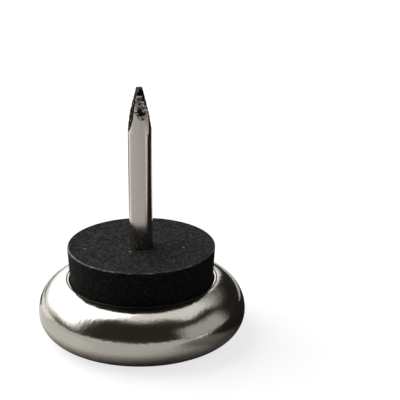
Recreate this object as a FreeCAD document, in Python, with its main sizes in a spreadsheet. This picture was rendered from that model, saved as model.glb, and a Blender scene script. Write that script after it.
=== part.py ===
import FreeCAD, Part
import math
import os
import Sketcher

# Nail-on furniture glide: a pressed steel cup, a rubber cushion held under its
# rolled lip, and a wire nail whose head lies on the cup's floor.
# The origin is the centre of the underside, and +Z runs up the nail. One ridge of
# the nail's four-sided point faces -Y.

Vector = FreeCAD.Vector

# Driving sizes in millimetres: name, value, meaning.
SIZES = [
    ("base_diameter", 22.2, "widest diameter of the cup"),
    ("sheet", 0.9, "thickness of the cup's steel"),
    ("foot_corner", 2.7, "outside radius between the flat foot and the side"),
    ("rim_roll", 3.6, "outside radius of the roll from the side over to the lip"),
    ("lip_gap", 0.08, "gap between the lip's edge and the cushion's waist"),
    ("lip_chamfer", 0.15, "chamfer on the lip's upper edge"),
    ("cushion_height", 10.0, "height of the cushion's top above the underside"),
    ("cushion_diameter", 15.75, "diameter of the cushion's top"),
    ("waist_diameter", 15.4, "diameter of the cushion where it passes the lip"),
    ("cushion_gap", 0.05, "gap between the cushion and the cup's wall"),
    ("cushion_chamfer", 0.1, "chamfer on the cushion's top edge"),
    ("nail_diameter", 2.5, "diameter of the nail's wire"),
    ("nail_length", 17.5, "length of nail that stands above the cushion"),
    ("point_length", 4.7, "length of the four-sided point"),
    ("point_draw", 0.1, "how much thinner the wire is drawn by the end of the point"),
    ("tip_width", 0.56, "width of the blunt end of the point"),
    ("neck_diameter", 3.2, "diameter of the nail's tapered neck where it leaves the head"),
    ("neck_gap", 0.02, "gap between the nail's neck and the cushion's hole"),
    ("head_diameter", 8.0, "diameter of the nail's flat head"),
    ("head_thickness", 1.1, "thickness of the nail's head"),
    ("head_chamfer", 0.25, "chamfer on the head's upper edge"),
    ("head_gap", 0.1, "gap round the head in the cushion's recess"),
    ("cutter_margin", 0.4, "how far the point's cutter reaches past the wire"),
]

# Heights and radii that follow from the driving sizes.
BASE_RADIUS = "sizes.base_diameter / 2"
FOOT_RADIUS = "sizes.base_diameter / 2 - sizes.foot_corner"
LIP_RADIUS = "sizes.waist_diameter / 2 + sizes.lip_gap"
HEAD_TOP = "sizes.sheet + sizes.head_thickness"
TIP_HEIGHT = "sizes.cushion_height + sizes.nail_length"
POINT_HEIGHT = TIP_HEIGHT + " - sizes.point_length"
FLANGE_RADIUS = "sizes.base_diameter / 2 - sizes.sheet - sizes.cushion_gap"
FLANGE_ROLL = "sizes.rim_roll - sizes.sheet - sizes.cushion_gap"

# How a sketch numbers an element's points, its two axes and its origin.
START, END, CENTRE = range(1, 4)
LEVEL_AXIS, UPRIGHT_AXIS = range(-1, -3, -1)
ORIGIN = (LEVEL_AXIS, START)

# Facets round the nail's point, and the turn that sets a ridge to the front.
FACETS = 4
FACET_TURN = 180 / FACETS

doc = FreeCAD.newDocument("furniture_glide")
value = {name: number for name, number, meaning in SIZES}


def make_sheet():
    """Write the driving sizes into a spreadsheet, one alias to a row."""
    sheet = doc.addObject("Spreadsheet::Sheet", "sizes")
    for row, (name, number, meaning) in enumerate(SIZES, start=1):
        sheet.set(f"A{row}", name)
        sheet.set(f"B{row}", str(number))
        sheet.set(f"C{row}", meaning)
        sheet.setAlias(f"B{row}", name)
    doc.recompute()


def make_body(label):
    """Start a body whose label is the node's name."""
    body = doc.addObject("PartDesign::Body", label)
    body.Label = label
    return body


def origin_feature(body, role):
    """Return the body's own origin plane or axis with this role."""
    return next(item for item in body.Origin.OriginFeatures if item.Role == role)


def make_sketch(body, name, turn=0):
    """Add an upright sketch: x is the radius, y the height, turned about the axis."""
    sketch = body.newObject("Sketcher::SketchObject", name)
    sketch.AttachmentSupport = [(origin_feature(body, "XZ_Plane"), "")]
    sketch.MapMode = "FlatFace"
    rotation = FreeCAD.Rotation(Vector(0, 1, 0), turn)
    sketch.AttachmentOffset = FreeCAD.Placement(Vector(0, 0, 0), rotation)
    return sketch


def line(x1, y1, x2, y2):
    """Return a straight stretch of an outline."""
    return Part.LineSegment(Vector(x1, y1, 0), Vector(x2, y2, 0))


def arc(x, y, radius, first, last):
    """Return a round stretch of an outline, with its angles in degrees."""
    circle = Part.Circle(Vector(x, y, 0), Vector(0, 0, 1), radius)
    return Part.ArcOfCircle(circle, math.radians(first), math.radians(last))


def join(sketch, *pairs):
    """Make each pair of end points meet."""
    for first, second in pairs:
        sketch.addConstraint(Sketcher.Constraint("Coincident", *first, *second))


def join_round(sketch, count):
    """Join that many elements end to start, all the way round."""
    for first in range(count):
        second = (first + 1) % count
        join(sketch, ((first, END), (second, START)))


def level(sketch, *items):
    """Keep lines, or pairs of points, level."""
    for item in items:
        sketch.addConstraint(Sketcher.Constraint("Horizontal", *item))


def upright(sketch, *items):
    """Keep lines, or pairs of points, upright."""
    for item in items:
        sketch.addConstraint(Sketcher.Constraint("Vertical", *item))


def bind(sketch, name, kind, items, drawn, expression):
    """Add a named dimension, as drawn, that takes its value from the spreadsheet."""
    index = sketch.addConstraint(Sketcher.Constraint(kind, *items, drawn))
    sketch.renameConstraint(index, name)
    sketch.setExpression(f"Constraints.{name}", expression)


def set_radius(sketch, name, point, expression):
    """Give a point of the outline its distance from the axis."""
    bind(sketch, name, "DistanceX", (*ORIGIN, *point), sketch.getPoint(*point).x, expression)


def set_height(sketch, name, point, expression):
    """Give a point of the outline its height above the underside."""
    bind(sketch, name, "DistanceY", (*ORIGIN, *point), sketch.getPoint(*point).y, expression)


def set_bend(sketch, name, element, expression):
    """Give an arc of the outline its radius."""
    bind(sketch, name, "Radius", (element,), sketch.Geometry[element].Radius, expression)


def revolve(body, sketch, name):
    """Turn an outline once about the axis."""
    turned = body.newObject("PartDesign::Revolution", name)
    turned.Profile = sketch
    turned.ReferenceAxis = (sketch, ["V_Axis"])
    turned.Angle = 360
    doc.recompute()
    return turned


def bevel_edge(body, base, name, radius, height, size):
    """Chamfer the circular edge that lies at this radius and height."""
    def misfit(edge):
        box = edge.BoundBox
        return abs(box.XMax - radius) + abs(box.ZMin - height) + abs(box.ZMax - height)

    edges = base.Shape.Edges
    nearest = min(range(len(edges)), key=lambda index: misfit(edges[index]))
    chamfer = body.newObject("PartDesign::Chamfer", name)
    chamfer.Base = (base, [f"Edge{nearest + 1}"])
    chamfer.setExpression("Size", size)
    doc.recompute()
    return chamfer


def fold(sketch, first, second, guide):
    """Run two equal flats along a construction arc, from its start to its end."""
    join(sketch, ((guide, START), (first, START)), ((guide, END), (second, END)))
    sketch.addConstraint(Sketcher.Constraint("PointOnObject", first, END, guide))
    sketch.addConstraint(Sketcher.Constraint("Equal", first, second))


def flats(x, y, radius, first, last):
    """Return two equal straight stretches along an arc, and the arc as their guide."""
    angles = [math.radians(angle) for angle in (first, (first + last) / 2, last)]
    points = [(x + radius * math.cos(angle), y + radius * math.sin(angle)) for angle in angles]
    start, knee, end = points
    return [line(*start, *knee), line(*knee, *end)], arc(x, y, radius, first, last)


def make_cup():
    """Press the steel cup: flat foot, round corner, rolled side and turned-in lip."""
    body = make_body("steel_cup")
    sketch = make_sketch(body, "cup_section")
    base = value["base_diameter"] / 2
    corner = value["foot_corner"]
    roll = value["rim_roll"]
    sheet = value["sheet"]
    lip = value["waist_diameter"] / 2 + value["lip_gap"]
    foot = base - corner
    roll_centre = base - roll
    inner_corner = corner - sheet
    inner_roll = roll - sheet
    outer_turn = math.degrees(math.acos((lip - roll_centre) / roll))
    inner_turn = math.degrees(math.acos((lip - roll_centre) / inner_roll))
    outer_lip = math.sqrt(roll ** 2 - (lip - roll_centre) ** 2) + corner
    inner_lip = math.sqrt(inner_roll ** 2 - (lip - roll_centre) ** 2) + corner
    roll_flats, roll_guide = flats(roll_centre, corner, inner_roll, 0, inner_turn)
    corner_flats, corner_guide = flats(foot, corner, inner_corner, -90, 0)
    outline = [
        line(0, 0, foot, 0),
        arc(foot, corner, corner, -90, 0),
        arc(roll_centre, corner, roll, 0, outer_turn),
        line(lip, outer_lip, lip, inner_lip),
        *roll_flats,
        *corner_flats,
        line(foot, sheet, 0, sheet),
        line(0, sheet, 0, 0),
    ]
    sketch.addGeometry(outline, False)
    foot_line, corner_out, roll_out, lip_edge, wall, crown, toe, heel, floor, axis = range(len(outline))
    roll_in = sketch.addGeometry(roll_guide, True)
    corner_in = sketch.addGeometry(corner_guide, True)
    join(
        sketch,
        ((foot_line, START), ORIGIN),
        ((foot_line, END), (corner_out, START)),
        ((corner_out, END), (roll_out, START)),
        ((roll_out, END), (lip_edge, START)),
        ((lip_edge, END), (crown, END)),
        ((crown, START), (wall, END)),
        ((wall, START), (heel, END)),
        ((heel, START), (toe, END)),
        ((toe, START), (floor, START)),
        ((floor, END), (axis, START)),
        ((axis, END), (foot_line, START)),
        ((roll_in, CENTRE), (roll_out, CENTRE)),
        ((corner_in, CENTRE), (corner_out, CENTRE)),
    )
    level(
        sketch,
        (foot_line,),
        (floor,),
        (corner_out, CENTRE, corner_out, END),
        (roll_out, CENTRE, roll_out, START),
        (roll_in, CENTRE, roll_in, START),
    )
    upright(
        sketch,
        (lip_edge,),
        (axis,),
        (corner_out, CENTRE, corner_out, START),
        (corner_in, CENTRE, corner_in, START),
    )
    fold(sketch, wall, crown, roll_in)
    fold(sketch, toe, heel, corner_in)
    set_radius(sketch, "widest", (corner_out, END), BASE_RADIUS)
    set_radius(sketch, "lip", (roll_out, END), LIP_RADIUS)
    set_bend(sketch, "corner", corner_out, "sizes.foot_corner")
    set_bend(sketch, "roll", roll_out, "sizes.rim_roll")
    set_bend(sketch, "inner_roll", roll_in, "sizes.rim_roll - sizes.sheet")
    shell = revolve(body, sketch, "cup_shell")
    bevel_edge(body, shell, "lip_edge", lip, outer_lip, "sizes.lip_chamfer")
    return body


def make_cushion():
    """Mould the cushion: a flange that fills the cup, a waist and a flat-topped pad."""
    body = make_body("rubber_cushion")
    sketch = make_sketch(body, "cushion_section")
    floor = value["sheet"]
    equator = value["foot_corner"]
    foot = value["base_diameter"] / 2 - equator
    wall = value["base_diameter"] / 2 - floor - value["cushion_gap"]
    roll = value["rim_roll"] - floor - value["cushion_gap"]
    waist = value["waist_diameter"] / 2
    turn = math.degrees(math.acos((waist - wall + roll) / roll))
    waist_height = math.sqrt(roll ** 2 - (waist - wall + roll) ** 2) + equator
    pad = value["cushion_diameter"] / 2
    top = value["cushion_height"]
    hole_top = value["nail_diameter"] / 2 + value["neck_gap"]
    hole_foot = value["neck_diameter"] / 2 + value["neck_gap"]
    recess = value["head_diameter"] / 2 + value["head_gap"]
    head_top = floor + value["head_thickness"]
    flange_flats, flange_guide = flats(wall - roll, equator, roll, 0, turn)
    outline = [
        line(recess, floor, foot, floor),
        line(foot, floor, wall, equator),
        *flange_flats,
        line(waist, waist_height, pad, top),
        line(pad, top, hole_top, top),
        line(hole_top, top, hole_foot, head_top),
        line(hole_foot, head_top, recess, head_top),
        line(recess, head_top, recess, floor),
    ]
    sketch.addGeometry(outline, False)
    seat, under, flange, shoulder, side, top_line, hole, shelf, recess_wall = range(len(outline))
    guide = sketch.addGeometry(flange_guide, True)
    join_round(sketch, len(outline))
    level(sketch, (seat,), (top_line,), (shelf,), (guide, CENTRE, guide, START))
    upright(sketch, (recess_wall,))
    fold(sketch, flange, shoulder, guide)
    set_height(sketch, "floor", (seat, START), "sizes.sheet")
    set_radius(sketch, "recess", (seat, START), "sizes.head_diameter / 2 + sizes.head_gap")
    set_radius(sketch, "foot", (seat, END), FOOT_RADIUS)
    set_radius(sketch, "wall", (under, END), FLANGE_RADIUS)
    set_height(sketch, "equator", (under, END), "sizes.foot_corner")
    set_bend(sketch, "roll", guide, FLANGE_ROLL)
    set_radius(sketch, "waist", (shoulder, END), "sizes.waist_diameter / 2")
    set_radius(sketch, "pad", (side, END), "sizes.cushion_diameter / 2")
    set_height(sketch, "top", (side, END), "sizes.cushion_height")
    set_radius(sketch, "hole_top", (hole, START), "sizes.nail_diameter / 2 + sizes.neck_gap")
    set_radius(sketch, "hole_foot", (hole, END), "sizes.neck_diameter / 2 + sizes.neck_gap")
    set_height(sketch, "head_top", (shelf, START), HEAD_TOP)
    moulding = revolve(body, sketch, "cushion_moulding")
    bevel_edge(body, moulding, "pad_edge", pad, top, "sizes.cushion_chamfer")
    return body


def make_nail():
    """Head the wire, taper its neck inside the cushion and pinch the point."""
    body = make_body("nail")
    sketch = make_sketch(body, "nail_section")
    under = value["sheet"]
    head = value["head_diameter"] / 2
    head_top = under + value["head_thickness"]
    neck = value["neck_diameter"] / 2
    seat = value["cushion_height"]
    wire = value["nail_diameter"] / 2
    drawn = wire - value["point_draw"] / 2
    tip = seat + value["nail_length"]
    point = tip - value["point_length"]
    outline = [
        line(0, under, head, under),
        line(head, under, head, head_top),
        line(head, head_top, neck, head_top),
        line(neck, head_top, wire, seat),
        line(wire, seat, wire, point),
        line(wire, point, drawn, tip),
        line(drawn, tip, 0, tip),
        line(0, tip, 0, under),
    ]
    sketch.addGeometry(outline, False)
    bottom, rim, shoulder, neck_side, wire_side, point_side, end, axis = range(len(outline))
    join_round(sketch, len(outline))
    level(sketch, (bottom,), (shoulder,), (end,))
    upright(sketch, (rim,), (wire_side,))
    for point_on_axis in ((bottom, START), (end, END)):
        sketch.addConstraint(Sketcher.Constraint("PointOnObject", *point_on_axis, UPRIGHT_AXIS))
    set_height(sketch, "under", (bottom, START), "sizes.sheet")
    set_radius(sketch, "head", (rim, START), "sizes.head_diameter / 2")
    set_height(sketch, "head_top", (rim, END), HEAD_TOP)
    set_radius(sketch, "neck", (neck_side, START), "sizes.neck_diameter / 2")
    set_height(sketch, "seat", (wire_side, START), "sizes.cushion_height")
    set_radius(sketch, "wire", (wire_side, START), "sizes.nail_diameter / 2")
    set_height(sketch, "point", (wire_side, END), POINT_HEIGHT)
    set_radius(sketch, "drawn", (point_side, END), "(sizes.nail_diameter - sizes.point_draw) / 2")
    set_height(sketch, "tip", (point_side, END), TIP_HEIGHT)
    blank = revolve(body, sketch, "nail_blank")
    headed = bevel_edge(body, blank, "head_edge", head, head_top, "sizes.head_chamfer")
    cut_point(body, headed)
    return body


def cut_point(body, blank):
    """Cut one sloping facet and repeat it round the wire."""
    sketch = make_sketch(body, "facet_section", FACET_TURN)
    wire = value["nail_diameter"] / 2
    tip = value["cushion_height"] + value["nail_length"]
    length = value["point_length"]
    half_tip = value["tip_width"] / 2
    margin = value["cutter_margin"]
    slope = (wire - half_tip) / length
    outside = wire + margin
    above = tip + margin
    low = tip - length - margin / slope
    inside = half_tip - margin * slope
    outline = [
        line(outside, low, inside, above),
        line(inside, above, outside, above),
        line(outside, above, outside, low),
    ]
    facet, roof, back = range(len(outline))
    sketch.addGeometry(outline, False)
    facet_start = sketch.addGeometry(Part.Point(Vector(wire, tip - length, 0)), True)
    facet_end = sketch.addGeometry(Part.Point(Vector(half_tip, tip, 0)), True)
    join_round(sketch, len(outline))
    level(sketch, (roof,))
    upright(sketch, (back,))
    for mark in (facet_start, facet_end):
        sketch.addConstraint(Sketcher.Constraint("PointOnObject", mark, START, facet))
    set_radius(sketch, "wire", (facet_start, START), "sizes.nail_diameter / 2")
    set_height(sketch, "shoulder", (facet_start, START), POINT_HEIGHT)
    set_radius(sketch, "half_tip", (facet_end, START), "sizes.tip_width / 2")
    set_height(sketch, "tip", (facet_end, START), TIP_HEIGHT)
    set_radius(sketch, "outside", (back, START), "sizes.nail_diameter / 2 + sizes.cutter_margin")
    set_height(sketch, "above", (back, START), f"{TIP_HEIGHT} + sizes.cutter_margin")
    pocket = body.newObject("PartDesign::Pocket", "point_facet")
    pocket.Profile = sketch
    pocket.SideType = "Symmetric"
    pocket.setExpression("Length", "2 * sizes.nail_diameter")
    doc.recompute()
    pattern = body.newObject("PartDesign::PolarPattern", "point_facets")
    pattern.Originals = [pocket]
    pattern.Axis = (origin_feature(body, "Z_Axis"), [""])
    pattern.Angle = 360
    pattern.Occurrences = FACETS
    body.Tip = pattern
    doc.recompute()
    volumes = [blank.Shape.Volume, pocket.Shape.Volume, pattern.Shape.Volume]
    if not volumes[0] > volumes[1] > volumes[2]:
        raise RuntimeError("the point's facets cut nothing")


def check(bodies):
    """Stop before anything is written if an object failed or a solid is bad."""
    failed = [item.Name for item in doc.Objects if {"Invalid", "Error"} & set(item.State)]
    if failed:
        raise RuntimeError("failed objects: " + ", ".join(failed))
    for body in bodies:
        shape = body.Shape
        if shape.isNull() or not shape.isValid() or len(shape.Solids) != 1:
            raise RuntimeError("bad solid: " + body.Label)


def main():
    make_sheet()
    bodies = [make_cup(), make_cushion(), make_nail()]
    doc.recompute()
    check(bodies)
    os.makedirs("parts", exist_ok=True)
    for body in bodies:
        body.Shape.exportStep(f"parts/{body.Label}.step")
        box = body.Shape.BoundBox
        print(body.Label, "volume", round(body.Shape.Volume, 2), "box", box)


main()
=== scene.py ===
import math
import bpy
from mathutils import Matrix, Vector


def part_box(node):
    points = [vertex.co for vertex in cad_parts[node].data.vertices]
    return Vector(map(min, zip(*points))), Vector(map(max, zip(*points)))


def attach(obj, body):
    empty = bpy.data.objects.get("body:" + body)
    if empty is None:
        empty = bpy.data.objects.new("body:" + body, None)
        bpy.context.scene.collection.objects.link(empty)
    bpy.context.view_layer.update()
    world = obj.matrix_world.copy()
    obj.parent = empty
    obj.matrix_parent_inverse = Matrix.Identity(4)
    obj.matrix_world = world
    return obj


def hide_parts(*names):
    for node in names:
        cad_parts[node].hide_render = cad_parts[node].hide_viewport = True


bl_info = {
    "name": "Nail-on furniture glide",
    "version": (1, 0, 0),
    "blender": (4, 5, 0),
    "location": "View3D > Sidebar > Glide",
    "description": "Models a nickel-plated furniture glide with a rubber cushion and a wire nail",
    "category": "Object",
}

import bpy

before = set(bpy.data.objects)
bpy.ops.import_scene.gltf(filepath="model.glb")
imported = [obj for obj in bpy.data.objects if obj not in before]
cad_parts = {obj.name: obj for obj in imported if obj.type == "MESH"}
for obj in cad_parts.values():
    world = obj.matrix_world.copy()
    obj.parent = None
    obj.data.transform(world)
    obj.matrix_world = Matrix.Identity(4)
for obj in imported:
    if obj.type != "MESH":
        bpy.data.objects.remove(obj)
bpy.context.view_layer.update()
cup_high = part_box("steel_cup")[1]
cushion_low, cushion_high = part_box("rubber_cushion")
nail_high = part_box("nail")[1]

MM = 0.001
MERGE_DISTANCE = 0.001 * MM
CUT_REACH = 0.0001 * MM

# Steps round the pieces, and the angles up to which their faces are smoothed into each other.
ROUND_STEPS = 160
WIRE_STEPS = 96
SMOOTH_ANGLE = math.radians(32)
WIRE_ANGLE = math.radians(8)

# Steps along the arcs of the cup's and the cushion's outlines.
FOOT_STEPS = 26
ROLL_STEPS = 34
LIP_STEPS = 8
INNER_ROLL_STEPS = 12
INNER_FOOT_STEPS = 10
FLANGE_STEPS = 8
EDGE_STEPS = 6

# The point's facets: the first one's direction, which one is short, which way the one with extra painted
# shade faces, and
#  how far the normals of a facet and of the tip's flat rise at least.
FACET_TURN = 45
SHORT_FACET = 3
SHADED_FACET_SIDE = (-0.7071, -0.7071, 0)
FACET_RISE = 0.1
TIP_RISE = 0.5

# Cards that only mirrors see, standing round the object; the bright ones glow as painted reflections of the
#  studio's light. Each has a name, a colour, a brightness, a distance in metres, two azimuths (0 is the
#  front,
#  90 the right), two elevations, and the soft margins at its sides, foot and top. The angles are in degrees.
WHITE = "#FFFFFF"
WARM = "#FFF9DA"
WALL_CARDS = (
    # Painted reflection of the key light, which itself stays out of mirrors.
    ("key_reflection_card", WHITE, 2.4, 0.60, (-176, -66), (1, 84), (20, 12, 10)),
    ("front_flag", WARM, 0.03, 0.50, (-88, 84), (1.5, 81), (26, 1, 25)),
    ("right_flag", WARM, 0.03, 0.49, (50, 126), (20, 55), (18, 8, 11)),
    ("back_card", WHITE, 1.3, 0.47, (165, 192), (8, 58), (4, 8, 14)),
    ("low_flag", WARM, 0.06, 0.48, (-135, -50), (-1, 24), (34, 1, 22)),
    ("side_flag", WARM, 0.02, 0.52, (64, 190), (-2, 54), (12, 1, 30)),
    ("side_card", WHITE, 0.5, 0.45, (36, 114), (-1, 40), (20, 1, 14)),
)
CARD_STEPS = 180

# Round cards that only mirrors see, lying on the floor, each on top of the one before. Each has a name, a
# colour, its place to the right and away from the camera, its radius and its soft rim in metres.
FLOOR_CARDS = (
    ("grey_floor_card", "#D6D4D2", (-0.126, -0.277), 0.304, 0.008),
    ("right_floor_card", "#7C7A77", (0.300, -0.060), 0.237, 0.015),
    ("far_floor_card", "#242322", (0.330, 0.270), 0.370, 0.030),
    ("left_floor_card", "#E8E6E4", (-0.019, -0.004), 0.016, 0.006),
    # Painted shadow of the neighbouring glides on the right, seen only in mirrors.
    ("near_floor_card", "#8A8682", (0.022, -0.008), 0.018, 0.007),
    # Painted contact shadow round the foot, seen only in mirrors.
    ("contact_card", "#8A8683", (0, 0), 0.0135, 0.0035),
    ("dark_floor_card", "#242322", (0.0446, 0.0273), 0.047, 0.006),
    ("back_floor_card", "#242322", (-0.080, 0.107), 0.050, 0.010),
    ("outline_card", "#242322", (-0.0150, 0.0145), 0.0065, 0.0015),
    ("far_outline_card", "#242322", (-0.0210, 0.0500), 0.0230, 0.0040),
    ("pale_floor_card", "#F2F0EE", (0.0200, 0.0460), 0.0220, 0.0030),
)
FLOOR_CARD_STEPS = 64
CARD_LIFT = 0.005 * MM


def linear(code):
    """Turn an sRGB hex colour into linear red, green and blue."""
    shares = [int(code[at:at + 2], 16) / 255 for at in (1, 3, 5)]
    return tuple(s / 12.92 if s <= 0.04045 else ((s + 0.055) / 1.055) ** 2.4 for s in shares)


def length(name, description, default):
    """Return a length property in metres."""
    return bpy.props.FloatProperty(
        name=name, description=description, default=default, unit="LENGTH", precision=5)


def angle(name, description, degrees):
    """Return an angle property."""
    return bpy.props.FloatProperty(
        name=name, description=description, default=math.radians(degrees), subtype="ANGLE", unit="ROTATION")


def place(name, description, default):
    """Return a property for a place in metres."""
    return bpy.props.FloatVectorProperty(
        name=name, description=description, default=default,
        subtype="TRANSLATION", unit="LENGTH", precision=5)


def level(name, description, default):
    """Return a property for a plain number that is not below nought."""
    return bpy.props.FloatProperty(name=name, description=description, default=default, min=0)


def colour(name, description, code):
    """Return a colour property from an sRGB hex value."""
    return bpy.props.FloatVectorProperty(
        name=name, description=description, default=linear(code), subtype="COLOR", size=3, min=0, max=1)


class CupSettings(bpy.types.PropertyGroup):
    """Sizes and colours of the pressed cup"""
    base_radius: length("Base radius", "Radius at the cup's widest", cup_high.x)
    foot_corner: length("Foot corner", "Radius between the flat foot and the side", 2.7 * MM)
    rim_roll: length("Rim roll", "Radius of the roll from the side over to the lip", 3.6 * MM)
    sheet: length("Sheet", "Thickness of the steel", cushion_low.z)
    lip_radius: length("Lip radius", "Radius of the opening that the cushion comes through", 7.70 * MM)
    lip_round: length("Lip rounding", "Rounding of the sheet's edge at the lip", 0.16 * MM)
    lip_width: length("Lip width", "Width of the lip between its edge and the crease", 0.28 * MM)
    crease_width: length("Crease width", "Width of the crease that the press leaves there", 0.12 * MM)
    crease_depth: length("Crease depth", "Depth of that crease", 0.06 * MM)
    plate: colour("Nickel", "Colour of the nickel plate", "#C6C2B9")
    # The crease colour is painted shade, not dirt.
    crease_shade: colour("Grime", "Colour of the polish and dirt in the crease", "#1E1B18")


class CushionSettings(bpy.types.PropertyGroup):
    """Sizes and colours of the rubber cushion"""
    top_radius: length("Top radius", "Radius of the cushion's top", 7.875 * MM)
    waist_radius: length("Waist radius", "Radius where the cushion passes the lip", 7.6 * MM)
    top_height: length("Top height", "Height of the cushion's top", cushion_high.z)
    edge_round: length("Edge rounding", "Rounding of the top edge", 0.15 * MM)
    flash: length("Flash", "Height of the thin moulding flash on the top edge", 0.05 * MM)
    cup_gap: length("Cup gap", "Gap between the flange and the cup", 0.05 * MM)
    head_gap: length("Head gap", "Gap round the nail's head", 0.1 * MM)
    hole_gap: length("Hole gap", "Gap round the nail's wire", 0.02 * MM)
    rubber: colour("Rubber", "Colour of the black rubber", "#0A0B0A")
    bloom: colour("Speckle", "Colour of the grey speckle on the rubber", "#303330")
    # Worn edge colour: real rubbing, lightened as a painted highlight along the top edge.
    worn_and_glint: colour("Worn edge", "Colour of the worn line along the top edge", "#62645F")
    dust: colour("Dust", "Colour of the dust specks", "#9A9C97")


class NailSettings(bpy.types.PropertyGroup):
    """Sizes and colours of the nail"""
    wire_radius: length("Wire radius", "Radius of the nail's wire", 1.25 * MM)
    tip_height: length("Tip height", "Height of the nail's tip", nail_high.z)
    point_length: length("Point length", "Length of the four-sided point", 4.7 * MM)
    short_facet: length("Short facet", "Length of the facet that is pinched less far down", 3.3 * MM)
    tip_width: length("Tip width", "Width of the blunt tip", 0.56 * MM)
    head_radius: length("Head radius", "Radius of the flat head", nail_high.x)
    head_thickness: length("Head thickness", "Thickness of the flat head", 1.1 * MM)
    head_bevel: length("Head bevel", "Bevel of the head's upper edge", 0.2 * MM)
    neck_radius: length("Neck radius", "Radius of the neck at the head", 1.6 * MM)
    roughness: length("Cut roughness", "Depth of the tears on the pinched facets", 0.15 * MM)
    wire: colour("Wire", "Colour of the bright drawn wire", "#C4BBB5")
    # Pit colour: real tears, darkened further as painted shade.
    pit_and_shade: colour("Pits", "Colour of the dark pits in the pinched facets", "#0C0A08")


class StageSettings(bpy.types.PropertyGroup):
    """Camera and studio"""
    camera_place: place("Camera", "Place of the camera before the turn", (0.00626, -0.17725, 0.08326))
    camera_pitch: angle("Pitch", "How far the camera looks down", 21.04)
    lens: bpy.props.FloatProperty(
        name="Lens", description="Focal length in millimetres", default=162, min=10)
    sensor: level("Sensor", "Width of the camera's sensor in millimetres", 36)
    nearest: length("Nearest", "Distance from which the camera sees", 10 * MM)
    turn: angle("Turn", "How far the studio and camera stand round to the right", 30)
    key_place: place("Key light", "Place of the large soft light before the turn", (-0.43, 0.20, 0.43))
    key_size: length("Key size", "Side of the large soft light", 700 * MM)
    key_level: level("Key level", "Power of the large soft light in watts", 5.5)
    fill_level: level("Fill level", "Level of the light all round", 0.3)
    floor_size: length("Floor size", "Side of the square floor", 6000 * MM)
    floor_drop: length("Floor drop", "How far the floor lies under the foot", 0.1 * MM)
    floor_glow: level("Floor glow", "Brightness that the floor keeps in shadow", 0.75)
    floor_white: colour("Floor", "Colour of the floor's own brightness", "#FFFFFF")
    floor_shade: colour("Floor shade", "Colour in which the floor gives back the studio's light", "#959595")


def node(tree, kind, inputs=None, **settings):
    """Add a node; an input is a plain value or a socket to link from."""
    made = tree.nodes.new(kind)
    for name, value in settings.items():
        setattr(made, name, value)
    for key, value in (inputs or {}).items():
        if isinstance(value, bpy.types.NodeSocket):
            tree.links.new(value, made.inputs[key])
        else:
            made.inputs[key].default_value = value
    return made


def new_material(name):
    """Return an empty material, its node tree and its output node."""
    material = bpy.data.materials.new(name)
    material.use_nodes = True
    tree = material.node_tree
    tree.nodes.clear()
    return material, tree, node(tree, "ShaderNodeOutputMaterial")


def opaque(rgb):
    """Add full alpha to a colour."""
    return (*rgb, 1)


def nickel_plate(cup):
    # Bright nickel plated on pressed and tumbled steel: a warm mirror, a little soft, with faint ripples
    # left by the press that bend its reflections and a light haze from handling. Its fine grain is drawn
    # coarser than the real one, so that it shows at the edges of the reflections.
    haze_size = 2.2 * MM
    ripple_size = 3.5 * MM
    grain_size = 0.4 * MM
    material, tree, output = new_material("nickel_plate")
    spot = node(tree, "ShaderNodeTexCoord").outputs["Object"]
    haze = node(tree, "ShaderNodeTexNoise", {"Vector": spot, "Scale": 1 / haze_size, "Detail": 5})
    rough = node(tree, "ShaderNodeMapRange", {
        "Value": haze.outputs["Fac"], "From Min": 0.3, "From Max": 0.75, "To Min": 0.11, "To Max": 0.19})
    ripple = node(tree, "ShaderNodeTexNoise", {"Vector": spot, "Scale": 1 / ripple_size, "Detail": 1})
    press = node(tree, "ShaderNodeBump", {
        "Strength": 0.12, "Distance": 0.02 * MM, "Height": ripple.outputs["Fac"]})
    grain = node(tree, "ShaderNodeTexNoise", {"Vector": spot, "Scale": 1 / grain_size, "Detail": 2})
    skin = node(tree, "ShaderNodeBump", {
        "Strength": 0.5, "Distance": 0.03 * MM, "Height": grain.outputs["Fac"],
        "Normal": press.outputs["Normal"]})
    shader = node(tree, "ShaderNodeBsdfPrincipled", {
        "Base Color": opaque(cup.plate), "Metallic": 1, "Roughness": rough.outputs["Result"],
        "Normal": skin.outputs["Normal"]})
    tree.links.new(shader.outputs["BSDF"], output.inputs["Surface"])
    return material


def crease_shade_nickel(cup):
    # Nickel in the crease behind the lip, dull and dark: painted shade along the crease, a fine line to the
    # eye.
    material, tree, output = new_material("crease_shade_nickel")
    shader = node(tree, "ShaderNodeBsdfPrincipled", {"Base Color": opaque(cup.crease_shade), "Roughness": 0.7})
    tree.links.new(shader.outputs["BSDF"], output.inputs["Surface"])
    return material


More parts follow.
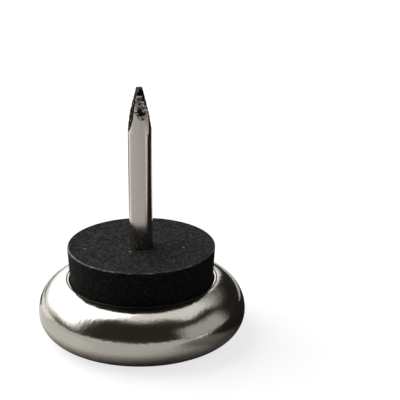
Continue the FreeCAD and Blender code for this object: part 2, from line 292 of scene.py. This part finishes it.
def black_rubber(cushion):
    # Moulded black rubber: matt and nearly black, with a fine speckle that is strongest on the rough top,
    # and a few pale dust specks that the top has picked up.
    grain_size = 0.28 * MM
    dust_spacing = 1.1 * MM
    top_start = cushion.top_height - 0.3 * MM
    top_full = cushion.top_height - 0.15 * MM
    material, tree, output = new_material("black_rubber")
    spot = node(tree, "ShaderNodeTexCoord").outputs["Object"]
    height = node(tree, "ShaderNodeSeparateXYZ", {"Vector": spot}).outputs["Z"]
    top = node(tree, "ShaderNodeMapRange", {
        "Value": height, "From Min": top_start, "From Max": top_full}, interpolation_type="SMOOTHSTEP")
    weight = node(tree, "ShaderNodeMapRange", {"Value": top.outputs["Result"], "To Min": 0.3, "To Max": 1})
    grain = node(tree, "ShaderNodeTexNoise", {
        "Vector": spot, "Scale": 1 / grain_size, "Detail": 2, "Roughness": 0.75})
    grey = node(tree, "ShaderNodeMapRange", {
        "Value": grain.outputs["Fac"], "From Min": 0.46, "From Max": 0.64}, interpolation_type="SMOOTHSTEP")
    speckle = node(tree, "ShaderNodeMath", {
        0: grey.outputs["Result"], 1: weight.outputs["Result"]}, operation="MULTIPLY")
    bloom = node(tree, "ShaderNodeMix", {
        "Factor": speckle.outputs["Value"], "A": opaque(cushion.rubber), "B": opaque(cushion.bloom)},
        data_type="RGBA")
    cells = node(tree, "ShaderNodeTexVoronoi", {"Vector": spot, "Scale": 1 / dust_spacing, "Randomness": 1})
    chance = node(tree, "ShaderNodeSeparateColor", {"Color": cells.outputs["Color"]})
    speck = node(tree, "ShaderNodeMapRange", {
        "Value": cells.outputs["Distance"], "From Min": 0.14, "From Max": 0.06},
        interpolation_type="SMOOTHSTEP")
    pale = node(tree, "ShaderNodeMapRange", {
        "Value": chance.outputs["Red"], "From Min": 0.55, "From Max": 1}, interpolation_type="SMOOTHSTEP")
    lying = node(tree, "ShaderNodeMath", {
        0: top.outputs["Result"], 1: speck.outputs["Result"]}, operation="MULTIPLY")
    dusty = node(tree, "ShaderNodeMath", {
        0: lying.outputs["Value"], 1: pale.outputs["Result"]}, operation="MULTIPLY")
    skin = node(tree, "ShaderNodeMix", {
        "Factor": dusty.outputs["Value"], "A": bloom.outputs["Result"], "B": opaque(cushion.dust)},
        data_type="RGBA")
    bump = node(tree, "ShaderNodeBump", {
        "Strength": 0.6, "Distance": 0.05 * MM, "Height": grain.outputs["Fac"]})
    rough = node(tree, "ShaderNodeMapRange", {"Value": grain.outputs["Fac"], "To Min": 0.9, "To Max": 0.7})
    shader = node(tree, "ShaderNodeBsdfPrincipled", {
        "Base Color": skin.outputs["Result"], "Roughness": rough.outputs["Result"],
        "Specular IOR Level": 0.1, "Normal": bump.outputs["Normal"]})
    tree.links.new(shader.outputs["BSDF"], output.inputs["Surface"])
    return material


def rubber_flash(cushion):
    # The thin skin of flash along the moulded edge: smoother than the rest and rubbed grey in places, the
    # grey lighter than wear alone as a painted highlight along the edge.
    rub_size = 0.6 * MM
    material, tree, output = new_material("rubber_flash")
    spot = node(tree, "ShaderNodeTexCoord").outputs["Object"]
    rub = node(tree, "ShaderNodeTexNoise", {"Vector": spot, "Scale": 1 / rub_size, "Detail": 4})
    # Lighter patches: rubbed wear and painted edge highlight.
    worn_and_glint = node(tree, "ShaderNodeMapRange", {
        "Value": rub.outputs["Fac"], "From Min": 0.45, "From Max": 0.65}, interpolation_type="SMOOTHSTEP")
    tone = node(tree, "ShaderNodeMix", {
        "Factor": worn_and_glint.outputs["Result"], "A": opaque(cushion.rubber), "B": opaque(cushion.worn_and_glint)},
        data_type="RGBA")
    rough = node(tree, "ShaderNodeMapRange", {"Value": rub.outputs["Fac"], "To Min": 0.2, "To Max": 0.5})
    shader = node(tree, "ShaderNodeBsdfPrincipled", {
        "Base Color": tone.outputs["Result"], "Roughness": rough.outputs["Result"], "IOR": 1.5})
    tree.links.new(shader.outputs["BSDF"], output.inputs["Surface"])
    return material


def bright_wire(nail):
    # Bright drawn steel wire: a clean metal with fine draw lines along its length, drawn coarser than the
    # real ones so that they show.
    line_spacing = 0.18 * MM
    line_stretch = 0.04
    material, tree, output = new_material("bright_wire")
    spot = node(tree, "ShaderNodeTexCoord").outputs["Object"]
    along = node(tree, "ShaderNodeMapping", {"Vector": spot, "Scale": (1, 1, line_stretch)})
    lines = node(tree, "ShaderNodeTexNoise", {
        "Vector": along.outputs["Vector"], "Scale": 1 / line_spacing, "Detail": 4})
    bump = node(tree, "ShaderNodeBump", {
        "Strength": 0.3, "Distance": 0.01 * MM, "Height": lines.outputs["Fac"]})
    rough = node(tree, "ShaderNodeMapRange", {
        "Value": lines.outputs["Fac"], "From Min": 0.3, "From Max": 0.7, "To Min": 0.1, "To Max": 0.2})
    shader = node(tree, "ShaderNodeBsdfPrincipled", {
        "Base Color": opaque(nail.wire), "Metallic": 1, "Roughness": rough.outputs["Result"],
        "Normal": bump.outputs["Normal"]})
    tree.links.new(shader.outputs["BSDF"], output.inputs["Surface"])
    return material


def pinched_steel(nail):
    # Steel torn by the pinching dies: bright flecks of the same wire between dark pits, which crowd towards
    #  the tip. The pits are partly real tears and partly painted shade for the dark surroundings that the
    #  facets mirror, and one of the four facets gets more of them as painted shade. Rough enough to glint
    #  and shade by turns.
    tear_size = 0.5 * MM
    material, tree, output = new_material("pinched_steel")
    spot = node(tree, "ShaderNodeTexCoord").outputs["Object"]
    tears = node(tree, "ShaderNodeTexNoise", {"Vector": spot, "Scale": 1 / tear_size, "Detail": 1.5})
    height = node(tree, "ShaderNodeSeparateXYZ", {"Vector": spot}).outputs["Z"]
    crowd = node(tree, "ShaderNodeMapRange", {
        "Value": height, "From Min": nail.tip_height - nail.point_length, "From Max": nail.tip_height,
        "To Min": -0.1, "To Max": 0.08})
    sideways = node(tree, "ShaderNodeVectorMath", {0: spot, 1: (1, 1, 0)}, operation="MULTIPLY")
    outward = node(tree, "ShaderNodeVectorMath", {0: sideways.outputs["Vector"]}, operation="NORMALIZE")
    lean = node(tree, "ShaderNodeVectorMath", {
        0: outward.outputs["Vector"], 1: SHADED_FACET_SIDE}, operation="DOT_PRODUCT")
    # Extra pits on one facet: painted shade on that side.
    shaded_facet = node(tree, "ShaderNodeMapRange", {
        "Value": lean.outputs["Value"], "From Min": 0.68, "From Max": 0.76, "To Min": 0, "To Max": 0.26})
    higher = node(tree, "ShaderNodeMath", {
        0: tears.outputs["Fac"], 1: crowd.outputs["Result"]}, operation="ADD")
    depth = node(tree, "ShaderNodeMath", {
        0: higher.outputs["Value"], 1: shaded_facet.outputs["Result"]}, operation="ADD")
    pits_and_shade = node(tree, "ShaderNodeMapRange", {
        "Value": depth.outputs["Value"], "From Min": 0.51, "From Max": 0.58},
        interpolation_type="SMOOTHSTEP").outputs["Result"]
    tone = node(tree, "ShaderNodeMix", {
        "Factor": pits_and_shade, "A": opaque(nail.wire), "B": opaque(nail.pit_and_shade)}, data_type="RGBA")
    rough = node(tree, "ShaderNodeMapRange", {"Value": pits_and_shade, "To Min": 0.18, "To Max": 1})
    bare = node(tree, "ShaderNodeMapRange", {"Value": pits_and_shade, "To Min": 1, "To Max": 0})
    bump = node(tree, "ShaderNodeBump", {
        "Strength": 1, "Distance": 0.5 * MM, "Height": tears.outputs["Fac"]})
    shader = node(tree, "ShaderNodeBsdfPrincipled", {
        "Base Color": tone.outputs["Result"], "Metallic": bare.outputs["Result"],
        "Roughness": rough.outputs["Result"], "Specular IOR Level": 0.2, "Normal": bump.outputs["Normal"]})
    tree.links.new(shader.outputs["BSDF"], output.inputs["Surface"])
    return material


def arc(centre, radius, first, last, steps):
    """Return points along an arc of an outline, each as its radius from the axis and its height."""
    points = []
    for step in range(steps + 1):
        turned = math.radians(first + (last - first) * step / steps)
        points.append((centre[0] + radius * math.cos(turned), centre[1] + radius * math.sin(turned)))
    return points


def revolve(name, outline, steps, filled):
    """Add a circle at the outline's first point and extrude it to a new ring at every further point."""
    bpy.ops.object.select_all(action="DESELECT")
    radius, height = outline[0]
    bpy.ops.mesh.primitive_circle_add(
        vertices=steps, radius=radius, location=(0, 0, height), fill_type="NGON" if filled else "NOTHING")
    piece = bpy.context.object
    piece.name = name
    piece.data.name = name
    bpy.ops.object.transform_apply(location=True, rotation=True, scale=True)
    bpy.ops.object.mode_set(mode="EDIT")
    bpy.ops.mesh.select_mode(type="VERT")
    bpy.ops.mesh.select_all(action="SELECT")
    for next_radius, next_height in outline[1:]:
        share = next_radius / radius
        bpy.ops.mesh.extrude_region_move(TRANSFORM_OT_translate={"value": (0, 0, next_height - height)})
        bpy.ops.transform.resize(value=(share, share, 1), center_override=(0, 0, next_height))
        radius, height = next_radius, next_height
    bpy.ops.mesh.select_all(action="SELECT")
    bpy.ops.mesh.remove_doubles(threshold=MERGE_DISTANCE)
    bpy.ops.mesh.normals_make_consistent(inside=False)
    bpy.ops.object.mode_set(mode="OBJECT")
    return piece


def select_faces(piece, test):
    """Select the faces whose normal and centre pass a test, and stay in edit mode."""
    bpy.ops.object.mode_set(mode="EDIT")
    bpy.ops.mesh.select_mode(type="FACE")
    bpy.ops.mesh.select_all(action="DESELECT")
    bpy.ops.object.mode_set(mode="OBJECT")
    for face in piece.data.polygons:
        face.select = test(face.normal, face.center)
    bpy.ops.object.mode_set(mode="EDIT")


def assign_second(piece, test):
    """Give a piece's second material to the faces that pass a test."""
    select_faces(piece, test)
    piece.active_material_index = 1
    bpy.ops.object.material_slot_assign()
    bpy.ops.object.mode_set(mode="OBJECT")


def finish_piece(piece, node_name, smooth_angle):
    """Smooth a piece and let it stand for its node."""
    bpy.ops.object.shade_smooth_by_angle(angle=smooth_angle)
    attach(piece, "root")
    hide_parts(node_name)


class GLIDE_OT_cup(bpy.types.Operator):
    """Turn the pressed cup with its rolled side, its lip and the crease behind the lip"""
    bl_idname = "glide.cup"
    bl_label = "Steel cup"

    def execute(self, context):
        cup = context.scene.glide_cup
        foot_centre = (cup.base_radius - cup.foot_corner, cup.foot_corner)
        roll_centre = (cup.base_radius - cup.rim_roll, cup.foot_corner)
        inner_roll = cup.rim_roll - cup.sheet
        inner_top = roll_centre[1] + inner_roll
        inner_angle = math.degrees(math.acos((cup.lip_radius - roll_centre[0]) / inner_roll))
        crease_start = cup.lip_radius + cup.lip_width
        crease_end = crease_start + cup.crease_width
        crease_top = self.rise(cup, crease_start)
        crease_angle = math.degrees(math.acos((crease_end - roll_centre[0]) / cup.rim_roll))
        lip_middle = cup.lip_radius + cup.lip_round
        lip_centre = (lip_middle, self.rise(cup, lip_middle) - cup.lip_round)
        outline = [
            *arc(foot_centre, cup.foot_corner, -90, 0, FOOT_STEPS),
            *arc(roll_centre, cup.rim_roll, 0, crease_angle, ROLL_STEPS)[1:],
            (crease_start + cup.crease_width / 2, crease_top - cup.crease_depth),
            (crease_start, crease_top),
            *arc(lip_centre, cup.lip_round, 90, 180, LIP_STEPS),
            *arc(roll_centre, inner_roll, inner_angle, 0, INNER_ROLL_STEPS),
            *arc(foot_centre, cup.foot_corner - cup.sheet, 0, -90, INNER_FOOT_STEPS)[1:],
        ]
        piece = revolve("pressed_cup", outline, ROUND_STEPS, True)
        piece.data.materials.append(nickel_plate(cup))
        # Second material: painted shade in the crease behind the lip.
        piece.data.materials.append(crease_shade_nickel(cup))

        def is_crease(normal, centre):
            return crease_start < math.hypot(centre.x, centre.y) < crease_end and centre.z > inner_top

        assign_second(piece, is_crease)
        finish_piece(piece, "steel_cup", SMOOTH_ANGLE)
        return {"FINISHED"}

    def rise(self, cup, radius):
        """Return the height of the roll's outside at a radius."""
        reach = radius - cup.base_radius + cup.rim_roll
        return cup.foot_corner + math.sqrt(cup.rim_roll ** 2 - reach ** 2)


class GLIDE_OT_cushion(bpy.types.Operator):
    """Mould the rubber cushion with its flange, waist and flat top"""
    bl_idname = "glide.cushion"
    bl_label = "Rubber cushion"

    def execute(self, context):
        cushion = context.scene.glide_cushion
        cup = context.scene.glide_cup
        nail = context.scene.glide_nail
        underside = cup.sheet
        foot_centre = (cup.base_radius - cup.foot_corner, cup.foot_corner)
        corner = cup.foot_corner - cup.sheet - cushion.cup_gap
        corner_start = -80
        roll_centre = (cup.base_radius - cup.rim_roll, cup.foot_corner)
        roll = cup.rim_roll - cup.sheet - cushion.cup_gap
        waist_angle = math.degrees(math.acos((cushion.waist_radius - roll_centre[0]) / roll))
        edge_centre = (cushion.top_radius - cushion.edge_round, cushion.top_height - cushion.edge_round)
        side_top = edge_centre[1] - cushion.edge_round
        side_middle = (
            (cushion.top_radius + cushion.waist_radius) / 2, (edge_centre[1] + cup.foot_corner + roll) / 2)
        flash_foot = cushion.top_radius - 3 * cushion.edge_round
        face = cushion.top_height - cushion.flash
        outer_ring = 0.7 * cushion.top_radius
        inner_ring = 0.4 * cushion.top_radius
        dip_start = nail.wire_radius + 6 * cushion.edge_round
        dip_height = cushion.top_height - 2 * cushion.flash
        recess = nail.head_radius + cushion.head_gap
        shelf = underside + nail.head_thickness
        outline = [
            (recess, underside),
            (foot_centre[0], underside),
            *arc(foot_centre, corner, corner_start, 0, FLANGE_STEPS),
            *arc(roll_centre, roll, 0, waist_angle, INNER_ROLL_STEPS)[1:],
            side_middle,
            (cushion.top_radius, side_top),
            *arc(edge_centre, cushion.edge_round, 0, 90, EDGE_STEPS),
            (flash_foot, face),
            (outer_ring, face),
            (inner_ring, face),
            (dip_start, face),
            (nail.wire_radius + cushion.hole_gap, dip_height),
            (nail.neck_radius + cushion.hole_gap, shelf),
            (recess, shelf),
            (recess, underside),
        ]
        piece = revolve("moulded_cushion", outline, ROUND_STEPS, False)
        piece.data.materials.append(black_rubber(cushion))
        piece.data.materials.append(rubber_flash(cushion))

        least_rise = 0.2
        most_rise = 0.95

        def is_edge(normal, centre):
            outside = math.hypot(centre.x, centre.y) > edge_centre[0]
            return outside and centre.z > edge_centre[1] and least_rise < normal.z < most_rise

        assign_second(piece, is_edge)
        finish_piece(piece, "rubber_cushion", SMOOTH_ANGLE)
        return {"FINISHED"}


class GLIDE_OT_nail(bpy.types.Operator):
    """Head the wire nail and pinch its four-sided point"""
    bl_idname = "glide.nail"
    bl_label = "Nail"

    def execute(self, context):
        nail = context.scene.glide_nail
        underside = context.scene.glide_cup.sheet
        seat = context.scene.glide_cushion.top_height
        head_top = underside + nail.head_thickness
        shoulder = nail.tip_height - nail.point_length
        hold = 0.3 * MM
        tip_draw = 0.05 * MM
        outline = [
            (nail.head_radius, underside),
            (nail.head_radius, head_top - nail.head_bevel),
            (nail.head_radius - nail.head_bevel, head_top),
            (nail.neck_radius, head_top),
            (nail.wire_radius, seat),
            (nail.wire_radius, seat + hold),
            (nail.wire_radius, shoulder - hold),
            (nail.wire_radius, shoulder),
            (nail.wire_radius - tip_draw, nail.tip_height),
        ]
        piece = revolve("wire_nail", outline, WIRE_STEPS, True)
        self.pinch(nail)
        piece.data.materials.append(bright_wire(nail))
        piece.data.materials.append(pinched_steel(nail))

        def is_pinched(normal, centre):
            return centre.z > shoulder and normal.z > FACET_RISE

        def is_facet(normal, centre):
            return is_pinched(normal, centre) and normal.z < TIP_RISE

        assign_second(piece, is_pinched)
        self.grid(piece, nail, shoulder, is_facet)
        self.tear(piece, nail, shoulder, is_facet)
        finish_piece(piece, "nail", WIRE_ANGLE)
        return {"FINISHED"}

    def pinch(self, nail):
        """Slice the four facets of the point, one of them less far down."""
        run = nail.wire_radius - nail.tip_width / 2
        bpy.ops.object.mode_set(mode="EDIT")
        for quarter in range(4):
            turned = math.radians(FACET_TURN + 90 * quarter)
            out = (math.cos(turned), math.sin(turned))
            fall = nail.short_facet if quarter == SHORT_FACET else nail.point_length
            slope = math.hypot(run, fall)
            bpy.ops.mesh.select_all(action="SELECT")
            bpy.ops.mesh.bisect(
                plane_co=(out[0] * nail.wire_radius, out[1] * nail.wire_radius, nail.tip_height - fall),
                plane_no=(out[0] * fall / slope, out[1] * fall / slope, run / slope),
                use_fill=True, clear_outer=True, threshold=CUT_REACH)
        bpy.ops.object.mode_set(mode="OBJECT")

    def grid(self, piece, nail, shoulder, is_facet):
        """Cut the facets into a fine grid, first across the point and then along it."""
        pitch = 0.08 * MM
        side_on = 0.1
        for row in range(1, int(nail.point_length / pitch)):
            select_faces(piece, is_facet)
            bpy.ops.mesh.bisect(
                plane_co=(0, 0, shoulder + row * pitch), plane_no=(0, 0, 1), threshold=CUT_REACH)
        strips = int(nail.wire_radius / pitch)
        for turned in (math.radians(FACET_TURN), math.radians(FACET_TURN + 90)):
            across = (math.cos(turned), math.sin(turned))

            def is_crossed(normal, centre):
                lean = abs(normal.x * across[0] + normal.y * across[1])
                return is_facet(normal, centre) and lean < side_on

            for strip in range(-strips, strips + 1):
                select_faces(piece, is_crossed)
                offset = (strip + 0.5) * pitch
                bpy.ops.mesh.bisect(
                    plane_co=(across[0] * offset, across[1] * offset, 0), plane_no=(*across, 0),
                    threshold=CUT_REACH)

    def tear(self, piece, nail, shoulder, is_facet):
        """Roughen the facets with a cloud texture, half as deep near the tip and not at all at its edge."""
        slender = nail.tip_height - 1.2 * MM
        blunt = nail.tip_height - 0.12 * MM
        group = piece.vertex_groups.new(name="pinched")
        piece.vertex_groups.active_index = group.index
        for weight, lowest in ((1, shoulder), (0.5, slender), (0, blunt)):
            def is_above(normal, centre):
                return is_facet(normal, centre) and centre.z > lowest

            select_faces(piece, is_above)
            bpy.context.scene.tool_settings.vertex_group_weight = weight
            bpy.ops.object.vertex_group_assign()
        bpy.ops.object.mode_set(mode="OBJECT")
        texture = bpy.data.textures.new("tears", "CLOUDS")
        texture.noise_scale = 0.34 * MM
        texture.noise_depth = 2
        tears = piece.modifiers.new("tears", "DISPLACE")
        tears.texture = texture
        tears.texture_coords = "LOCAL"
        tears.vertex_group = group.name
        tears.strength = nail.roughness
        tears.mid_level = 0.7
        bpy.ops.object.modifier_apply(modifier=tears.name)


def seen_directly(tree, strength):
    """Return a strength that the camera, mirrors and glass see, and that casts no light."""
    path = node(tree, "ShaderNodeLightPath")
    either = node(tree, "ShaderNodeMath", {
        0: path.outputs["Is Camera Ray"], 1: path.outputs["Is Glossy Ray"]}, operation="MAXIMUM")
    seen = node(tree, "ShaderNodeMath", {
        0: either.outputs["Value"], 1: path.outputs["Is Transmission Ray"]}, operation="MAXIMUM")
    shown = node(tree, "ShaderNodeMath", {0: seen.outputs["Value"], 1: strength}, operation="MULTIPLY")
    return shown.outputs["Value"]


def white_floor(stage):
    # Plain white studio floor: most of its brightness is its own to the eye and in mirrors, so that it stays
    # white, and the rest is the studio's light, so that it keeps a soft shadow.
    material, tree, output = new_material("white_floor")
    shader = node(tree, "ShaderNodeBsdfPrincipled", {
        "Base Color": opaque(stage.floor_shade), "Roughness": 0.9,
        "Emission Color": opaque(stage.floor_white),
        "Emission Strength": seen_directly(tree, stage.floor_glow)})
    tree.links.new(shader.outputs["BSDF"], output.inputs["Surface"])
    return material


def glowing_card(name, code, strength, distance, half, heights, soft):
    # A studio card that glows at one brightness, as if lit evenly, as a painted reflection in mirrors, and
    # fades out towards its sides, foot and top.
    side, foot, top = soft
    low, low_full, high_full, high = (
        distance * math.tan(math.radians(height))
        for height in (heights[0], heights[0] + foot, heights[1] - top, heights[1]))
    material, tree, output = new_material(name)
    spot = node(tree, "ShaderNodeTexCoord").outputs["Object"]
    split = node(tree, "ShaderNodeSeparateXYZ", {"Vector": spot})
    towards = node(tree, "ShaderNodeMath", {0: split.outputs["Y"], 1: -1}, operation="MULTIPLY")
    azimuth = node(tree, "ShaderNodeMath", {
        0: split.outputs["X"], 1: towards.outputs["Value"]}, operation="ARCTAN2")
    across = node(tree, "ShaderNodeMath", {0: azimuth.outputs["Value"]}, operation="ABSOLUTE")
    fades = (
        (across.outputs["Value"], math.radians(half), math.radians(half - side)),
        (split.outputs["Z"], low, low_full),
        (split.outputs["Z"], high, high_full),
    )
    shown = 1
    for value, outer, inner in fades:
        fade = node(tree, "ShaderNodeMapRange", {
            "Value": value, "From Min": outer, "From Max": inner}, interpolation_type="SMOOTHSTEP")
        shown = node(tree, "ShaderNodeMath", {
            0: shown, 1: fade.outputs["Result"]}, operation="MULTIPLY").outputs["Value"]
    glow = node(tree, "ShaderNodeEmission", {"Color": opaque(linear(code)), "Strength": strength})
    clear = node(tree, "ShaderNodeBsdfTransparent")
    mixed = node(tree, "ShaderNodeMixShader", {
        0: shown, 1: clear.outputs["BSDF"], 2: glow.outputs["Emission"]})
    tree.links.new(mixed.outputs["Shader"], output.inputs["Surface"])
    return material


def matt_card(name, code, radius, rim):
    # A round card of matt paper that fades out over its rim; the dark ones near the foot are painted shadow.
    material, tree, output = new_material(name)
    spot = node(tree, "ShaderNodeTexCoord").outputs["Object"]
    away = node(tree, "ShaderNodeVectorMath", {0: spot}, operation="LENGTH")
    shown = node(tree, "ShaderNodeMapRange", {
        "Value": away.outputs["Value"], "From Min": radius, "From Max": radius - rim},
        interpolation_type="SMOOTHSTEP")
    matt = node(tree, "ShaderNodeBsdfDiffuse", {"Color": opaque(linear(code))})
    clear = node(tree, "ShaderNodeBsdfTransparent")
    mixed = node(tree, "ShaderNodeMixShader", {
        0: shown.outputs["Result"], 1: clear.outputs["BSDF"], 2: matt.outputs["BSDF"]})
    tree.links.new(mixed.outputs["Shader"], output.inputs["Surface"])
    return material


def hide_card(card):
    """Let a card show in mirrors alone."""
    card.visible_camera = False
    card.visible_diffuse = False
    card.visible_shadow = False
    card.visible_transmission = False


def wall_card(name, code, strength, distance, azimuths, heights, soft):
    """Stand a curved card round the object, built about the front and then turned to its place."""
    low, high = (distance * math.tan(math.radians(height)) for height in heights)
    half = (azimuths[1] - azimuths[0]) / 2
    bpy.ops.object.select_all(action="DESELECT")
    bpy.ops.mesh.primitive_circle_add(vertices=CARD_STEPS, radius=distance, location=(0, 0, low))
    card = bpy.context.object
    card.name = name
    bpy.ops.object.transform_apply(location=True, rotation=True, scale=True)
    bpy.ops.object.mode_set(mode="EDIT")
    bpy.ops.mesh.select_mode(type="VERT")
    bpy.ops.mesh.select_all(action="SELECT")
    bpy.ops.mesh.extrude_region_move(TRANSFORM_OT_translate={"value": (0, 0, high - low)})

    def is_spare(normal, centre):
        return abs(math.degrees(math.atan2(centre.x, -centre.y))) > half

    select_faces(card, is_spare)
    bpy.ops.mesh.delete(type="FACE")
    bpy.ops.object.mode_set(mode="OBJECT")
    card.data.materials.append(glowing_card(name, code, strength, distance, half, heights, soft))
    card.rotation_euler.z = math.radians(sum(azimuths) / 2)
    hide_card(card)
    return card


def floor_card(name, code, middle, radius, rim, height):
    """Lay a round card on the floor at a height."""
    bpy.ops.object.select_all(action="DESELECT")
    bpy.ops.mesh.primitive_circle_add(
        vertices=FLOOR_CARD_STEPS, radius=radius, location=(*middle, height), fill_type="NGON")
    card = bpy.context.object
    card.name = name
    card.data.materials.append(matt_card(name, code, radius, rim))
    hide_card(card)
    return card


class GLIDE_OT_stage(bpy.types.Operator):
    """Set up the floor, the soft light and the camera"""
    bl_idname = "glide.stage"
    bl_label = "Studio"

    def execute(self, context):
        scene = context.scene
        stage = scene.glide_stage
        scene.view_settings.view_transform = "Standard"
        self.lay_floor(stage)
        studio = [wall_card(*card) for card in WALL_CARDS]
        for count, card in enumerate(FLOOR_CARDS):
            studio.append(floor_card(*card, count * CARD_LIFT))
        studio.append(self.hang_light(stage))
        self.light_world(scene, stage)
        studio.append(self.stand_camera(scene, stage))
        bpy.ops.object.select_all(action="DESELECT")
        for item in studio:
            item.select_set(True)
        # With no window this operator turns the other way, hence the minus.
        bpy.ops.transform.rotate(value=-stage.turn, orient_axis="Z", center_override=(0, 0, 0))
        return {"FINISHED"}

    def lay_floor(self, stage):
        """Lay the floor just under the foot."""
        bpy.ops.object.select_all(action="DESELECT")
        bpy.ops.mesh.primitive_plane_add(size=stage.floor_size)
        floor = bpy.context.object
        floor.name = "floor"
        floor.data.materials.append(white_floor(stage))
        floor.location.z = -stage.floor_drop

    def hang_light(self, stage):
        """Hang a soft square light that faces the object and stays out of mirrors."""
        bpy.ops.object.light_add(type="AREA", location=stage.key_place)
        lamp = bpy.context.object
        lamp.name = "key_light"
        lamp.data.size = stage.key_size
        lamp.data.energy = stage.key_level
        lamp.visible_glossy = False
        lamp.rotation_euler = lamp.location.to_track_quat("Z", "Y").to_euler()
        return lamp

    def light_world(self, scene, stage):
        """Fill the studio with even light, white wherever it is seen directly."""
        world = bpy.data.worlds.new("studio")
        scene.world = world
        world.use_nodes = True
        tree = world.node_tree
        tree.nodes.clear()
        seen = seen_directly(tree, 1 - stage.fill_level)
        strength = node(tree, "ShaderNodeMath", {0: seen, 1: stage.fill_level}, operation="ADD")
        sky = node(tree, "ShaderNodeBackground", {
            "Color": opaque(linear(WHITE)), "Strength": strength.outputs["Value"]})
        node(tree, "ShaderNodeOutputWorld", {"Surface": sky.outputs["Background"]})

    def stand_camera(self, scene, stage):
        """Stand the camera where the picture was taken from."""
        bpy.ops.object.camera_add(
            location=stage.camera_place, rotation=(math.pi / 2 - stage.camera_pitch, 0, 0))
        camera = bpy.context.object
        camera.data.lens = stage.lens
        camera.data.sensor_width = stage.sensor
        camera.data.clip_start = stage.nearest
        scene.camera = camera
        return camera


class GLIDE_PT_panel(bpy.types.Panel):
    """Lists the glide's pieces and their settings"""
    bl_idname = "GLIDE_PT_panel"
    bl_label = "Furniture glide"
    bl_space_type = "VIEW_3D"
    bl_region_type = "UI"
    bl_category = "Glide"

    def draw(self, context):
        groups = (
            ("glide.cup", context.scene.glide_cup),
            ("glide.cushion", context.scene.glide_cushion),
            ("glide.nail", context.scene.glide_nail),
            ("glide.stage", context.scene.glide_stage),
        )
        for operator, settings in groups:
            box = self.layout.box()
            box.operator(operator)
            for name in settings.__annotations__:
                box.prop(settings, name)


CLASSES = (
    CupSettings, CushionSettings, NailSettings, StageSettings,
    GLIDE_OT_cup, GLIDE_OT_cushion, GLIDE_OT_nail, GLIDE_OT_stage, GLIDE_PT_panel,
)
GROUPS = {
    "glide_cup": CupSettings,
    "glide_cushion": CushionSettings,
    "glide_nail": NailSettings,
    "glide_stage": StageSettings,
}


def register():
    """Register the classes and give the scene its settings."""
    for item in CLASSES:
        bpy.utils.register_class(item)
    for name, group in GROUPS.items():
        setattr(bpy.types.Scene, name, bpy.props.PointerProperty(type=group))


def unregister():
    """Take the settings and the classes away again."""
    for name in GROUPS:
        delattr(bpy.types.Scene, name)
    for item in reversed(CLASSES):
        bpy.utils.unregister_class(item)


def main():
    """Build the pieces and the studio."""
    register()
    bpy.ops.glide.cup()
    bpy.ops.glide.cushion()
    bpy.ops.glide.nail()
    bpy.ops.glide.stage()


if __name__ == "__main__":
    main()
